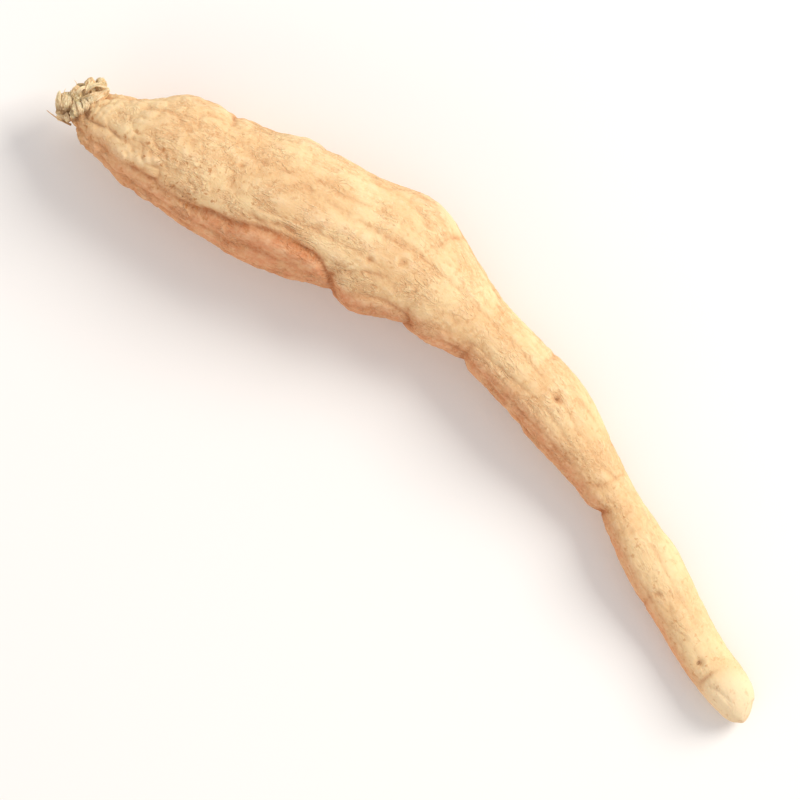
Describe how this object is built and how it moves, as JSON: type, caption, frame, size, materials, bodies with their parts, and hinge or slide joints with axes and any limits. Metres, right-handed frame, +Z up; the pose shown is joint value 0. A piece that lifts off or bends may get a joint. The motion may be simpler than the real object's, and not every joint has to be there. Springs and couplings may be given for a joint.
{
  "type": "dried pseudostellaria root",
  "caption": "Whole dried root lying on its side: knotted bud crown, wrinkled neck, plump spindle-shaped belly and a slender curved tail with a blunt cut end.",
  "frame": {"origin": "on the surface that the root lies on, under the middle of its bounding box", "axes": "+X from the crown towards the tail, +Y towards the side that the root bows to, +Z up"},
  "size_m": [0.0462, 0.0098, 0.0063],
  "materials": {
    "dried_skin": "matt, finely wrinkled, cream to orange tan"
  },
  "bodies": {
    "root": {"root": "dried_skin"}
  },
  "joints": []
}
